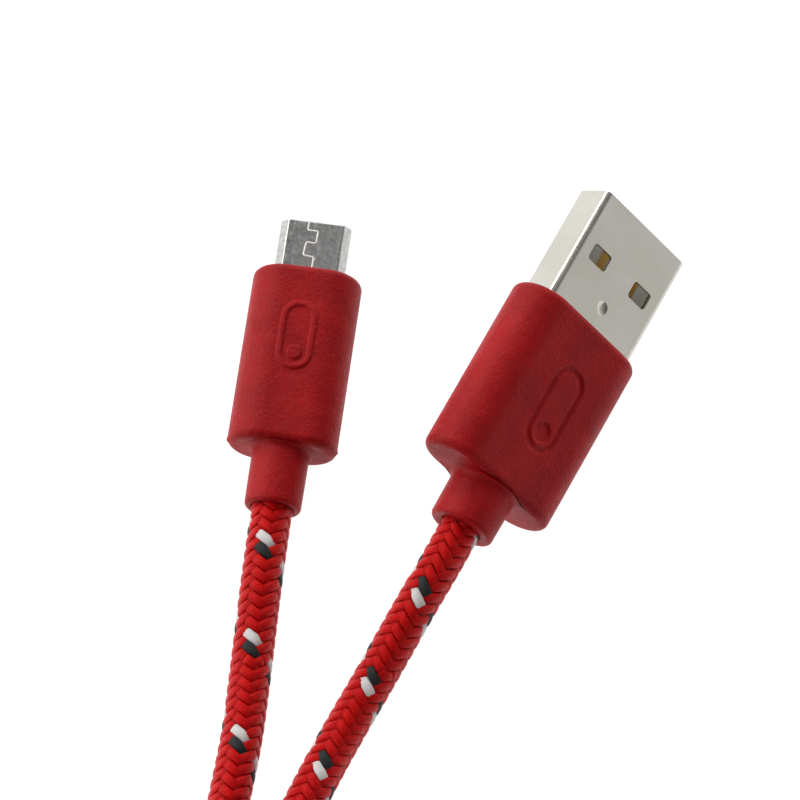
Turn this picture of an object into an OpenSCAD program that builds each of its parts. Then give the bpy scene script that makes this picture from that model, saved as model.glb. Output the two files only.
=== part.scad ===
// Charging cable: a braided cord with a type A plug on one end and a micro B plug on the other.
// Millimetres, +Z up. The origin lies on the table, under the middle of the two plugs.
// Each plug is drawn with its nose along +Y, its width along X and its marked face up,
// from the middle of the front face of its moulding, and is then laid on the table.

/* [Type A plug] */
// Width of the metal shell
a_shell_w = 12; // [11.9:0.05:12.1]
// Thickness of the metal shell, over both faces
a_shell_t = 4.5; // [4.4:0.05:4.6]
// Length of shell that stands out of the moulding
a_shell_out = 11.7; // [11.2:0.1:12.4]
// Thickness of the shell's sheet
a_sheet = 0.3; // [0.25:0.05:0.35]
// Width of the moulding
a_body_w = 15.5; // [15.2:0.1:16.2]
// Thickness of the moulding
a_body_t = 6.8; // [6.6:0.1:7.6]
// Length of the moulding, without the strain relief
a_body_l = 18.6; // [18:0.1:22]
// Diameter of the strain relief
a_relief_d = 6.5; // [6:0.1:6.6]
// Length of the strain relief
a_relief_l = 4.7; // [4:0.1:8]

/* [Micro B plug] */
// Width of the metal shell
m_shell_w = 6.85; // [6.8:0.01:6.9]
// Width of the shell's narrow face, between its two bevels
m_narrow_w = 5.4; // [5.3:0.05:5.5]
// Thickness of the metal shell, over both faces
m_shell_t = 1.8; // [1.78:0.01:1.85]
// Length of shell that stands out of the moulding
m_shell_out = 5.6; // [5.4:0.1:6.2]
// Thickness of the shell's sheet
m_sheet = 0.25; // [0.2:0.05:0.25]
// Width of the moulding
m_body_w = 10.5; // [10.2:0.1:11]
// Thickness of the moulding
m_body_t = 6.7; // [6.4:0.1:7.2]
// Length of the moulding, without the strain relief
m_body_l = 18.1; // [17.5:0.1:20]
// Diameter of the strain relief
m_relief_d = 5.5; // [5.2:0.1:6]
// Length of the strain relief
m_relief_l = 5.9; // [5:0.1:8]

/* [Mouldings] */
// Radius of the mouldings' front and rear edges
edge_r = 0.7; // [0.4:0.1:0.9]
// How far the raised mark stands out, and the sunk mark goes in
mark_depth = 0.2; // [0.1:0.05:0.3]

/* [Cord] */
// Outside diameter of the braided cord
cord_d = 4; // [3.8:0.1:4]
// Radius of the coil at the middle of its turns
coil_r = 21.5; // [21:0.1:22]
// Distance between turns that lie side by side
turn_step = 4.1; // [4.05:0.05:4.2]
// Thickness of the strap that ties the coil
strap_t = 0.4; // [0.3:0.1:0.4]

/* [Hidden] */
$fn = 48;

// Where the plugs lie: turned from +Y towards +X, and for the type A plug tipped onto its right side
a_x = 11.2;
a_y = 4.5;
a_turn = 28.4;
a_tip = 44;
m_x = -14.3;
m_y = 10.9;
m_turn = 7.8;
// Height of each plug's axis over the table
a_z = a_body_t / 2 + (a_body_w - a_body_t) / 2 * sin(a_tip);
m_z = m_body_t / 2;

// Parts of the type A plug, along its own Y
a_shell_back = -6.5;
a_ins_front = a_shell_out - 0.5;
a_ins_back = -8;
a_step = -1;
a_tail_back = -10.2;
a_mould_back = -15.5;
a_mould_w = 11.6;
a_mould_t = 4.9;
a_ins_w = a_shell_w - 2 * a_sheet - 0.1;
a_ins_edge = 0.35;
a_floor = -(a_shell_t / 2 - a_sheet);
a_tongue_t = 1.84;
a_tongue_top = a_floor + a_tongue_t;
a_blade_t = 0.25;
a_blade_w = 1;
a_blade_top = a_tongue_top + 0.05;
a_outer_x = 3.5;
a_inner_x = 1;
a_window_x = 3.07;
a_window_y = a_shell_out - 5.75;
a_dimple_y = a_shell_out - 9.45;

// Parts of the micro B plug, along its own Y
m_shell_back = -6;
m_ins_back = -8;
m_step = -3.2;
m_root = -3;
m_tongue_front = 4.8;
m_tongue_w = 3.9;
m_tongue_top = 0;
m_groove_z = -0.5;
m_tail_back = -9.4;
m_mould_back = -14.5;
m_mould_w = 8.4;
m_mould_t = 4.6;
m_pitch = 0.65;
m_blade_w = 0.3;
m_blade_z = -0.3;
m_blade_t = 0.15;
m_latch_x = 2.55;
m_latch_w = 0.5;
m_ins_h = m_shell_t - 2 * m_sheet - 0.06;
m_ins_w = m_shell_w - 2 * m_sheet - 0.36;
m_ins_top_w = m_narrow_w - 0.16;

// Wires in each plug: radius of a power wire, a data wire, and how far they lie from the cord's axis
power_r = 0.45;
data_r = 0.3;
bare_r = 0.14;
bundle = 0.55;
fit_gap = 0.03;
wire_lift = 0.04;

// The coil: its centre on the table, the height of its lower layer, and where its turns change
coil_x = 0.8;
coil_y = -86.3;
layer_z = cord_d / 2 + strap_t;
lead_r = coil_r + 2 * turn_step;
off_from = 30;
off_to = 100;
strap_at = 250;
strap_w = 5;

// Routes of the two leads, from each strain relief to the coil
usb_a_route = [[0, -16.2, 6.4], [-1.9, -19.7, 6.2], [-3.9, -23, 5.4], [-6, -26.5, 4.2],
    [-8.1, -30, 3], [-10.2, -33.5, 2.2], [-12.1, -37, 2], [-14.1, -41, 2], [-15.6, -44.4, 2],
    [-16.1, -47.8, 2], [-15.2, -51.4, 2], [-12.5, -54.9, 2.1], [-8.8, -56.8, 2.2], [-4.4, -57, 2.4]];
micro_b_route = [[-17.6, -12.9, 3.35], [-18.1, -16.9, 3.3], [-18.6, -21, 3], [-19.1, -25.5, 2.5],
    [-19.6, -30, 2.1], [-20.2, -35, 2], [-21.1, -40, 2], [-22, -45, 2], [-23.3, -52, 2],
    [-24.6, -59, 2.05], [-25.9, -66, 2.15], [-27.1, -73, 2.3], [-28, -78.5, 2.4], [-28.4, -81.1, 2.4]];

// The cord's last stretch on the coil rolls off its upper layer, over the outermost lower turn
function ease(t) = t * t * (3 - 2 * t);
function roll_off(a) =
    let (t = 90 * ease((a - off_from) / (off_to - off_from)),
         r = coil_r + turn_step * (1 + sin(t)))
    [coil_x + r * cos(a), coil_y + r * sin(a), layer_z + turn_step * cos(t)];
usb_a_line = concat(usb_a_route, [for (a = [off_to - 14 : -14 : off_from]) roll_off(a)]);

// A round tube along a line of points, each ring square to the line
function along(p, i) =
    let (d = p[min(i + 1, len(p) - 1)] - p[max(i - 1, 0)]) d / norm(d);
function ring(p, i, r, n) =
    let (d = along(p, i), side = cross(d, [0, 0, 1]), s = side / norm(side), u = cross(s, d))
    [for (k = [0 : n - 1]) p[i] + r * (cos(360 * k / n) * s + sin(360 * k / n) * u)];

module tube(p, r, n = 12) {
    last = len(p) - 1;
    walls = [for (i = [0 : last - 1], k = [0 : n - 1])
        [i * n + k, i * n + (k + 1) % n, (i + 1) * n + (k + 1) % n, (i + 1) * n + k]];
    polyhedron(
        points = [for (i = [0 : last]) each ring(p, i, r, n)],
        faces = concat(walls, [[for (k = [n - 1 : -1 : 0]) k]], [[for (k = [0 : n - 1]) last * n + k]]));
}

// Flat shapes
module round_rect(w, h, r) {
    square([w - 2 * r, h], center = true);
    square([w, h - 2 * r], center = true);
    for (x = [-1, 1], y = [-1, 1]) translate([x * (w / 2 - r), y * (h / 2 - r)]) circle(r);
}

module pill(w, l) {
    square([w, l - w], center = true);
    for (y = [-1, 1]) translate([0, y * (l - w) / 2]) circle(w / 2);
}

// Half of a rounded bar's profile, from its axis out, behind Y = 0
module bar_profile(r, l, edge) {
    translate([0, -l + edge]) square([r, l - 2 * edge]);
    translate([0, -l]) square([r - edge, l]);
    for (y = [-edge, -l + edge]) translate([r - edge, y]) circle(edge);
}

// A box whose flat shape is seen along the plug, from Y = front back to Y = back
module behind(front, back) {
    translate([0, front, 0]) rotate([90, 0, 0]) linear_extrude(front - back) children();
}

// A strip seen from its side, centred on X, whose flat shape gives Y and Z
module strip(w) {
    translate([-w / 2, 0, 0]) rotate([90, 0, 90]) linear_extrude(w) children();
}

// A box given by its two corners
module span(low, high) {
    translate(low) cube(high - low);
}

// A round rod between two points
module rod(p, q, r) {
    d = q - p;
    translate(p) rotate([0, acos(d[2] / norm(d)), atan2(d[1], d[0])]) cylinder(r = r, h = norm(d));
}

// A moulding with flat faces, full round sides and rounded front and rear edges
module body_block(w, t, l) {
    for (side = [0, 1]) mirror([side, 0, 0])
        translate([(w - t) / 2, 0, 0]) rotate([-90, 0, 0]) rotate([0, 0, -90])
            rotate_extrude(angle = 180) bar_profile(t / 2, l, edge_r);
    strip(w - t) translate([0, 0]) {
        translate([-l / 2, 0]) round_rect(l, t, edge_r);
    }
}

module relief(d, l, from) {
    translate([0, from, 0]) rotate([-90, 0, 0]) rotate_extrude() {
        translate([0, -l]) square([d / 2 - 0.4, l + 1]);
        translate([0, -l + 0.4]) square([d / 2, l + 0.6]);
        translate([d / 2 - 0.4, -l + 0.4]) circle(0.4);
    }
}

// The plain mark that shows which face goes up: a ring with a dot in its rear half
module mark(w, l, line, depth) {
    linear_extrude(depth) {
        difference() {
            pill(w, l);
            pill(w - 2 * line, l - 2 * line);
        }
        translate([0, -(l - w) / 2]) circle(w / 2 - 2 * line);
    }
}

module laid_a() {
    translate([a_x, a_y, a_z]) rotate([0, 0, -a_turn]) rotate([0, a_tip, 0]) children();
}

module laid_m() {
    translate([m_x, m_y, m_z]) rotate([0, 0, -m_turn]) children();
}

// Type A plug, in its own place
module a_shell_outline(in = 0) {
    round_rect(a_shell_w - 2 * in, a_shell_t - 2 * in, 0.65 - in);
}

module a_cavity() {
    span([-a_mould_w / 2, a_mould_back, -a_mould_t / 2], [a_mould_w / 2, a_shell_back, a_mould_t / 2]);
}

// A block as wide as the insulator, its edges cut off where the shell's folds are; top is its upper face
module a_ins_block(front, top, upper_edge) {
    half = a_ins_w / 2;
    behind(front, a_ins_back) polygon([
        [-half + a_ins_edge, a_floor], [half - a_ins_edge, a_floor], [half, a_floor + a_ins_edge],
        [half, top - upper_edge], [half - upper_edge, top], [-half + upper_edge, top], [-half, top - upper_edge],
        [-half, a_floor + a_ins_edge]
    ]);
}

module a_insulator_blank() {
    a_ins_block(a_ins_front, a_tongue_top, 0.05);
    a_ins_block(a_step, -a_floor - 0.05, a_ins_edge);
}

module a_blade(x, front) {
    span([x - a_blade_w / 2, a_tail_back, a_blade_top - a_blade_t], [x + a_blade_w / 2, front, a_blade_top]);
}

module a_blades() {
    for (x = [-1, 1]) {
        a_blade(x * a_outer_x, a_ins_front - 1.3);
        a_blade(x * a_inner_x, a_ins_front - 2.3);
    }
}

// A wire: a bare end on its tail, then insulation that runs back to the cord
module wire(start, knee, end, r) {
    difference() {
        union() {
            rod(start, knee, bare_r);
            translate(knee) sphere(r);
            rod(knee, end, r);
        }
        translate([-10, end[1] - 20, -10]) cube([20, 20, 20]);
    }
}

module a_wire(x, side, up, r) {
    z = a_blade_top + bare_r + wire_lift;
    wire([x, a_tail_back + 1.6, z], [x, a_tail_back - 0.3 - r, a_blade_top + r],
        [side * bundle, a_mould_back, up * bundle], r);
}

module a_joint(x) {
    z = a_blade_top + bare_r + wire_lift;
    difference() {
        rod([x, a_tail_back, z], [x, a_tail_back + 1.8, z], 0.42);
        span([x - 1, a_tail_back - 1, a_blade_top - 1], [x + 1, a_tail_back + 3, a_blade_top]);
        a_wires();
    }
}

module a_wires(grow = 0) {
    a_wire(a_outer_x, 1, 1, power_r + grow);
    a_wire(a_inner_x, 1, -1, data_r + grow);
    a_wire(-a_inner_x, -1, -1, data_r + grow);
    a_wire(-a_outer_x, -1, 1, power_r + grow);
}

module usb_a_shell() color([0.78, 0.77, 0.74]) laid_a() {
    difference() {
        behind(a_shell_out, a_shell_back) a_shell_outline();
        behind(a_shell_out + 1, a_shell_back - 1) a_shell_outline(a_sheet);
        for (x = [-1, 1]) translate([x * a_window_x, a_window_y, -5]) linear_extrude(10) round_rect(2.47, 1.76, 0.3);
        translate([0, a_dimple_y, a_shell_t / 2 + 1.09]) sphere(1.3);
        span([-0.03, a_shell_back - 1, -5], [0.03, a_shell_out - 4, 0]);
        span([-0.03, a_shell_out - 4, -5], [1.2, a_shell_out - 3.94, 0]);
        span([1.14, a_shell_out - 4, -5], [1.2, a_shell_out - 1.94, 0]);
        span([-0.03, a_shell_out - 2, -5], [1.2, a_shell_out - 1.94, 0]);
        span([-0.03, a_shell_out - 2, -5], [0.03, a_shell_out + 1, 0]);
    }
}

module usb_a_insulator() color([0.86, 0.86, 0.84]) laid_a() {
    difference() {
        a_insulator_blank();
        a_blades();
    }
}

module usb_a_contact_power() color([0.85, 0.63, 0.22]) laid_a() a_blade(a_outer_x, a_ins_front - 1.3);
module usb_a_contact_data_minus() color([0.85, 0.63, 0.22]) laid_a() a_blade(a_inner_x, a_ins_front - 2.3);
module usb_a_contact_data_plus() color([0.85, 0.63, 0.22]) laid_a() a_blade(-a_inner_x, a_ins_front - 2.3);
module usb_a_contact_ground() color([0.85, 0.63, 0.22]) laid_a() a_blade(-a_outer_x, a_ins_front - 1.3);

module usb_a_wire_red() color([0.8, 0.08, 0.06]) laid_a() a_wire(a_outer_x, 1, 1, power_r);
module usb_a_wire_white() color([0.92, 0.92, 0.9]) laid_a() a_wire(a_inner_x, 1, -1, data_r);
module usb_a_wire_green() color([0.1, 0.5, 0.2]) laid_a() a_wire(-a_inner_x, -1, -1, data_r);
module usb_a_wire_black() color([0.06, 0.06, 0.06]) laid_a() a_wire(-a_outer_x, -1, 1, power_r);

module usb_a_solder() color([0.75, 0.76, 0.78]) laid_a() {
    for (x = [-a_outer_x, -a_inner_x, a_inner_x, a_outer_x]) a_joint(x);
}

module usb_a_inner_mould() color([0.9, 0.9, 0.87]) laid_a() {
    difference() {
        a_cavity();
        span([-a_ins_w / 2, a_ins_back, a_floor], [a_ins_w / 2, 0, -a_floor - 0.05]);
        a_blades();
        for (x = [-a_outer_x, -a_inner_x, a_inner_x, a_outer_x])
            rod([x, a_tail_back - 0.01, a_blade_top + bare_r + wire_lift], [x, a_ins_back + 0.01, a_blade_top + bare_r + wire_lift], 0.45);
        a_wires(fit_gap);
    }
}

module usb_a_cord_end() color([0.72, 0.05, 0.06]) laid_a() {
    behind(a_mould_back, -a_body_l - a_relief_l) circle(cord_d / 2 - fit_gap);
}

module usb_a_moulding() color([0.55, 0.1, 0.11]) laid_a() {
    difference() {
        union() {
            body_block(a_body_w, a_body_t, a_body_l);
            relief(a_relief_d, a_relief_l, -a_body_l);
        }
        a_cavity();
        behind(1, a_shell_back) a_shell_outline();
        behind(a_mould_back, -a_body_l - a_relief_l - 1) circle(cord_d / 2);
        translate([0.3, -a_body_l / 2, a_body_t / 2 - mark_depth]) mark(3.9, 9, 0.5, 1);
    }
}

// Micro B plug, in its own place
m_low = -m_shell_t / 2;
m_high = m_shell_t / 2;
m_side_z = 0.05;
m_corner = 0.25;
m_turn_top = atan2(m_high - m_side_z, (m_shell_w - m_narrow_w) / 2);

// The shell's outline: a narrow upper face, a bevel on each side and a wide lower face
module m_outline(in = 0) {
    top_x = m_narrow_w / 2 - in * tan(m_turn_top / 2);
    side_x = m_shell_w / 2 - in;
    side_z = m_side_z - in * tan((90 - m_turn_top) / 2);
    c = m_corner - in * tan(22.5) * 1.0;
    right = [[top_x, m_high - in], [side_x, side_z], [side_x, m_low + in + c], [side_x - c, m_low + in]];
    polygon(concat(right, [for (i = [3 : -1 : 0]) [-right[i][0], right[i][1]]]));
}

module m_slots() {
    for (x = [-1, 1]) span([x * m_latch_x - 0.4, 2.35, -2], [x * m_latch_x + 0.4, 4.3, 0]);
}

// The seam where the sheet's edges meet, cut as a line of keys along the narrow face
module m_seam() {
    w = 0.06;
    turns = [m_shell_out - 1, m_shell_out - 2.3, m_shell_out - 3.7, m_shell_back];
    xs = [-0.7, 0.3, -0.7, 0.3];
    for (i = [0 : 3]) {
        front = i == 0 ? m_shell_out + 1 : turns[i - 1];
        span([xs[i] - w / 2, turns[i] - (i == 3 ? 1 : 0), 0], [xs[i] + w / 2, front + w, 2]);
        if (i < 3) span([-0.7 - w / 2, turns[i], 0], [0.3 + w / 2, turns[i] + w, 2]);
    }
}

module m_cavity() {
    span([-m_mould_w / 2, m_mould_back, -m_mould_t / 2], [m_mould_w / 2, m_shell_back, m_mould_t / 2]);
}

// The carrier's rear block, narrower above where the shell's bevels come in
module m_carrier(front) {
    span([-m_ins_w / 2, m_ins_back, m_low + m_sheet], [m_ins_w / 2, front, m_side_z - 0.05]);
    span([-m_ins_top_w / 2, m_ins_back, m_low + m_sheet], [m_ins_top_w / 2, front, m_ins_h / 2 - 0.1]);
}

module m_tail(i) {
    x = (i - 3) * m_pitch;
    span([x - m_blade_w / 2, m_tail_back, m_blade_z], [x + m_blade_w / 2, m_root - 0.1, m_blade_z + m_blade_t]);
}

// A springy contact: a flat arm with a raised bump near its tip
module m_contact(i) {
    translate([(i - 3) * m_pitch, 0, 0]) strip(m_blade_w)
        polygon([[m_root, -0.3], [m_root, -0.15], [2.6, -0.08], [3.3, 0.14], [3.7, 0.14], [4.3, -0.12],
            [4.25, -0.25], [3.6, 0], [3.35, 0], [2.65, -0.23]]);
}

// A retention spring: a flat arm with a hook that stands out through the wide face
module m_latch(side) {
    translate([side * m_latch_x, 0, 0]) strip(m_latch_w)
        polygon([[m_root, -0.15], [3.9, -0.15], [4, -0.45], [3.3, -1.22], [2.9, -1.25], [2.7, -0.35], [m_root, -0.35]]);
}

module m_wire(i, out, side, up, r) {
    x = (i - 3) * m_pitch;
    z = m_blade_z + m_blade_t + bare_r + wire_lift;
    wire([x, m_tail_back + 1, z], [x + out, m_tail_back - 0.3 - r, m_blade_z + m_blade_t + r],
        [side * bundle, m_mould_back, up * bundle], r);
}

module m_wires(grow = 0) {
    m_wire(1, -0.3, -1, 1, power_r + grow);
    m_wire(2, 0, -1, -1, data_r + grow);
    m_wire(3, 0, 1, -1, data_r + grow);
    m_wire(5, 0.3, 1, 1, power_r + grow);
}

module micro_b_shell() color([0.72, 0.72, 0.7]) laid_m() {
    difference() {
        behind(m_shell_out, m_shell_back) m_outline();
        behind(m_shell_out + 1, m_shell_back - 1) m_outline(m_sheet);
        m_slots();
        m_seam();
    }
}

module micro_b_insulator() color([0.13, 0.13, 0.14]) laid_m() {
    difference() {
        union() {
            span([-m_tongue_w / 2, m_ins_back, m_low + m_sheet], [m_tongue_w / 2, m_tongue_front, m_tongue_top]);
            m_carrier(m_step);
        }
        for (i = [1 : 5]) {
            m_tail(i);
            span([(i - 3) * m_pitch - 0.2, m_step, m_groove_z], [(i - 3) * m_pitch + 0.2, 4.5, 1]);
        }
    }
}

module micro_b_contact_1() color([0.85, 0.63, 0.22]) laid_m() m_contact(1);
module micro_b_contact_2() color([0.85, 0.63, 0.22]) laid_m() m_contact(2);
module micro_b_contact_3() color([0.85, 0.63, 0.22]) laid_m() m_contact(3);
module micro_b_contact_4() color([0.85, 0.63, 0.22]) laid_m() m_contact(4);
module micro_b_contact_5() color([0.85, 0.63, 0.22]) laid_m() m_contact(5);

module micro_b_contact_tails() color([0.85, 0.63, 0.22]) laid_m() {
    for (i = [1 : 5]) m_tail(i);
}

module micro_b_latch_left() color([0.7, 0.7, 0.68]) laid_m() m_latch(-1);
module micro_b_latch_right() color([0.7, 0.7, 0.68]) laid_m() m_latch(1);

module micro_b_wire_red() color([0.8, 0.08, 0.06]) laid_m() m_wire(1, -0.3, -1, 1, power_r);
module micro_b_wire_white() color([0.92, 0.92, 0.9]) laid_m() m_wire(2, 0, -1, -1, data_r);
module micro_b_wire_green() color([0.1, 0.5, 0.2]) laid_m() m_wire(3, 0, 1, -1, data_r);
module micro_b_wire_black() color([0.06, 0.06, 0.06]) laid_m() m_wire(5, 0.3, 1, 1, power_r);

module m_joint(i, r) {
    x = (i - 3) * m_pitch;
    z = m_blade_z + m_blade_t + bare_r + wire_lift;
    rod([x, m_tail_back, z], [x, m_tail_back + 1.1, z], r);
}

module micro_b_solder() color([0.75, 0.76, 0.78]) laid_m() {
    difference() {
        for (i = [1, 2, 3, 5]) m_joint(i, 0.26);
        span([-3, m_tail_back - 1, -2], [3, m_tail_back + 3, m_blade_z + m_blade_t]);
        m_wires();
    }
}

module micro_b_inner_mould() color([0.9, 0.9, 0.87]) laid_m() {
    difference() {
        m_cavity();
        m_carrier(0);
        for (i = [1 : 5]) m_tail(i);
        for (i = [1, 2, 3, 5]) m_joint(i, 0.29);
        m_wires(fit_gap);
    }
}

module micro_b_cord_end() color([0.72, 0.05, 0.06]) laid_m() {
    behind(m_mould_back, -m_body_l - m_relief_l) circle(cord_d / 2 - fit_gap);
}

module micro_b_moulding() color([0.55, 0.1, 0.11]) laid_m() {
    difference() {
        union() {
            body_block(m_body_w, m_body_t, m_body_l);
            relief(m_relief_d, m_relief_l, -m_body_l);
            translate([0, -7.4, m_body_t / 2 - 0.5]) mark(3.6, 6.8, 0.5, 0.5 + mark_depth);
        }
        m_cavity();
        behind(1, m_shell_back) m_outline();
        behind(m_mould_back, -m_body_l - m_relief_l - 1) circle(cord_d / 2);
    }
}

// Cord
module cord_usb_a_side() color([0.72, 0.05, 0.06]) tube(usb_a_line, cord_d / 2);
module cord_micro_b_side() color([0.72, 0.05, 0.06]) tube(micro_b_route, cord_d / 2);

module strap_place() {
    translate([coil_x, coil_y, 0]) rotate([0, 0, strap_at]) translate([coil_r, 0, 0]) children();
}

bundle_w = 2 * turn_step + cord_d;
bundle_h = turn_step + cord_d;

module cord_coil() color([0.72, 0.05, 0.06]) {
    difference() {
        translate([coil_x, coil_y, 0]) rotate_extrude($fn = 96)
            translate([coil_r, (bundle_h + strap_t) / 2]) round_rect(bundle_w, bundle_h + strap_t, 2);
        strap_place() span([-10, -strap_w / 2 - 0.1, -1], [10, strap_w / 2 + 0.1, strap_t]);
    }
}

module coil_strap() color([0.07, 0.07, 0.08]) strap_place() {
    translate([0, strap_w / 2, bundle_h / 2 + strap_t + 0.1]) rotate([90, 0, 0]) linear_extrude(strap_w) difference() {
        round_rect(bundle_w + 1.4, bundle_h + 0.2 + 2 * strap_t, 1 + strap_t);
        round_rect(bundle_w + 1.4 - 2 * strap_t, bundle_h + 0.2, 1);
    }
}

cord_usb_a_side();
cord_micro_b_side();
cord_coil();
coil_strap();
usb_a_moulding();
usb_a_inner_mould();
usb_a_cord_end();
usb_a_shell();
usb_a_insulator();
usb_a_contact_power();
usb_a_contact_data_minus();
usb_a_contact_data_plus();
usb_a_contact_ground();
usb_a_wire_red();
usb_a_wire_white();
usb_a_wire_green();
usb_a_wire_black();
usb_a_solder();
micro_b_moulding();
micro_b_inner_mould();
micro_b_cord_end();
micro_b_shell();
micro_b_insulator();
micro_b_contact_1();
micro_b_contact_2();
micro_b_contact_3();
micro_b_contact_4();
micro_b_contact_5();
micro_b_contact_tails();
micro_b_latch_left();
micro_b_latch_right();
micro_b_wire_red();
micro_b_wire_white();
micro_b_wire_green();
micro_b_wire_black();
micro_b_solder();
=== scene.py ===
import math

import bmesh
import bpy
import numpy as np
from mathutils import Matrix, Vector


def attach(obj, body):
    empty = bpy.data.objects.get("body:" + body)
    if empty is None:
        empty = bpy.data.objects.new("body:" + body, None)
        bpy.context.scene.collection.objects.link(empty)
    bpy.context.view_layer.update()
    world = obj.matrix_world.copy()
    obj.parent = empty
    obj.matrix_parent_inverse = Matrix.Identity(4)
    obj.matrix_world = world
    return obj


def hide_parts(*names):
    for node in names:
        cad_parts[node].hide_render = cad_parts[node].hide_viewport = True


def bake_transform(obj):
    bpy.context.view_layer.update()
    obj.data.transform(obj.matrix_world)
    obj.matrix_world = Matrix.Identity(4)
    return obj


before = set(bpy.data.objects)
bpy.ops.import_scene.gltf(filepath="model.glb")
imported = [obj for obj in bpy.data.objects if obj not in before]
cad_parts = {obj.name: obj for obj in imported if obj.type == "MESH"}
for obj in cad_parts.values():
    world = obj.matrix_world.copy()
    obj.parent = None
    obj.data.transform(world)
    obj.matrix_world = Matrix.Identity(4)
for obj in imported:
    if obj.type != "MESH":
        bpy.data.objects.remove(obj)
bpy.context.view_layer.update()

mm = 0.001

# where things are, in millimetres and degrees, the same numbers as the CAD's
cameraSetup = {
    "target": (-5.5, -0.4, 0.0),  # mm
    "elevation": 68.0,            # degrees above the table
    "distance": 450.0,            # mm
    "lens": 211.05,               # mm, on a 36 mm sensor
}
usbPlace = {"x": 11.2, "y": 4.5, "turn": 28.4, "tip": 44.0, "width": 15.5, "thick": 6.8}
microPlace = {"x": -14.3, "y": 10.9, "turn": 7.8, "tip": 0.0, "width": 10.5, "thick": 6.7}

cordSetup = {
    "diameter": 4.0,
    "coreRadius": 1.66,
    "pitch": 9.4714,        # length of cord in which a strand goes once round
    "strandWidth": 0.97,
    "strandThick": 0.30,
    "rideRadius": 1.72,     # middle of the weave
    "rise": 0.125,          # how far a strand goes over and under
    "meander": 0.35,        # 0 gives even helices
    "stubLength": 15.0,     # the stretch behind each plug, made as a piece of its own
    "fineLength": 58.0,     # stretch from each plug with the finest mesh
    "hidden": 0.9,          # how far the braid goes on inside each strain relief
}
# the cord's line from each strain relief to the coil, in metres
usbRoute = [(0.0, -0.0162, 0.0064), (-0.0019, -0.0197, 0.0062), (-0.0039, -0.023, 0.0054),
            (-0.006, -0.0265, 0.0042), (-0.0081, -0.03, 0.003), (-0.0102, -0.0335, 0.0022),
            (-0.0121, -0.037, 0.002), (-0.0141, -0.041, 0.002), (-0.0156, -0.0444, 0.002),
            (-0.0161, -0.0478, 0.002), (-0.0152, -0.0514, 0.002), (-0.0125, -0.0549, 0.0021),
            (-0.0088, -0.0568, 0.0022), (-0.0044, -0.057, 0.0024)]
microRoute = [(-0.0176, -0.0129, 0.00335), (-0.0181, -0.0169, 0.0033), (-0.0186, -0.021, 0.003),
              (-0.0191, -0.0255, 0.0025), (-0.0196, -0.03, 0.0021), (-0.0202, -0.035, 0.002),
              (-0.0211, -0.04, 0.002), (-0.022, -0.045, 0.002), (-0.0233, -0.052, 0.002),
              (-0.0246, -0.059, 0.00205), (-0.0259, -0.066, 0.00215), (-0.0271, -0.073, 0.0023),
              (-0.028, -0.0785, 0.0024), (-0.0284, -0.0811, 0.0024)]
coilSetup = {
    "centre": (0.8, -86.3),
    "radius": 21.5,
    "step": 4.1,
    "low": 2.4,
}


def makeCamera(setup):
    data = bpy.data.cameras.new("camera")
    data.lens = setup["lens"]
    data.sensor_width = 36.0
    data.clip_start = 0.01
    data.clip_end = 10.0
    cam = bpy.data.objects.new("camera", data)
    bpy.context.collection.objects.link(cam)
    tilt = math.radians(setup["elevation"])
    target = Vector(setup["target"]) * mm
    back = Vector((0.0, -math.cos(tilt), math.sin(tilt))) * setup["distance"] * mm
    cam.location = target + back
    cam.rotation_euler = (math.radians(90.0 - setup["elevation"]), 0.0, 0.0)
    bpy.context.scene.camera = cam


makeCamera(cameraSetup)
print("camera set")


def ease(t):
    t = np.clip(t, 0.0, 1.0)
    return t * t * (3.0 - 2.0 * t)


def unit(v):
    return v / np.maximum(np.linalg.norm(v, axis=-1, keepdims=True), 1e-12)


def gridFaces(rows, cols, closeRows, closeCols, flip=False):
    # four corners of every cell of a rows x cols grid of points
    r = np.arange(rows if closeRows else rows - 1)
    c = np.arange(cols if closeCols else cols - 1)
    r, c = np.meshgrid(r, c, indexing="ij")
    r1 = (r + 1) % rows
    c1 = (c + 1) % cols
    quads = np.stack([r * cols + c, r * cols + c1, r1 * cols + c1, r1 * cols + c], axis=-1).reshape(-1, 4)
    return quads[:, ::-1] if flip else quads


def capFaces(ring, centre, flip=False):
    # a fan of triangles from a ring of points to one point
    nextRing = np.roll(ring, -1)
    tris = np.stack([ring, nextRing, np.full(len(ring), centre)], axis=-1)
    return tris[:, ::-1] if flip else tris


def buildMesh(name, points, quads, tris=None, slots=None, materials=(), along=None):
    # points in mm; slots gives one material number a face; along is a point attribute for the materials
    tris = np.zeros((0, 3), int) if tris is None else tris
    mesh = bpy.data.meshes.new(name)
    corners = np.concatenate([quads.reshape(-1), tris.reshape(-1)]).astype(np.int32)
    sizes = np.concatenate([np.full(len(quads), 4), np.full(len(tris), 3)]).astype(np.int32)
    starts = np.concatenate([[0], np.cumsum(sizes)[:-1]]).astype(np.int32)
    mesh.vertices.add(len(points))
    mesh.vertices.foreach_set("co", (points * mm).astype(np.float32).reshape(-1))
    mesh.loops.add(len(corners))
    mesh.loops.foreach_set("vertex_index", corners)
    mesh.polygons.add(len(sizes))
    mesh.polygons.foreach_set("loop_start", starts)
    for mat in materials:
        mesh.materials.append(mat)
    if slots is not None:
        mesh.polygons.foreach_set("material_index", slots.astype(np.int32))
    mesh.update(calc_edges=True)
    mesh.validate()
    mesh.polygons.foreach_set("use_smooth", np.ones(len(mesh.polygons), bool))
    if along is not None:
        layer = mesh.attributes.new("along", "FLOAT_VECTOR", "POINT")
        layer.data.foreach_set("vector", along.astype(np.float32).reshape(-1))
    obj = bpy.data.objects.new(name, mesh)
    bpy.context.collection.objects.link(obj)
    return obj


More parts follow.
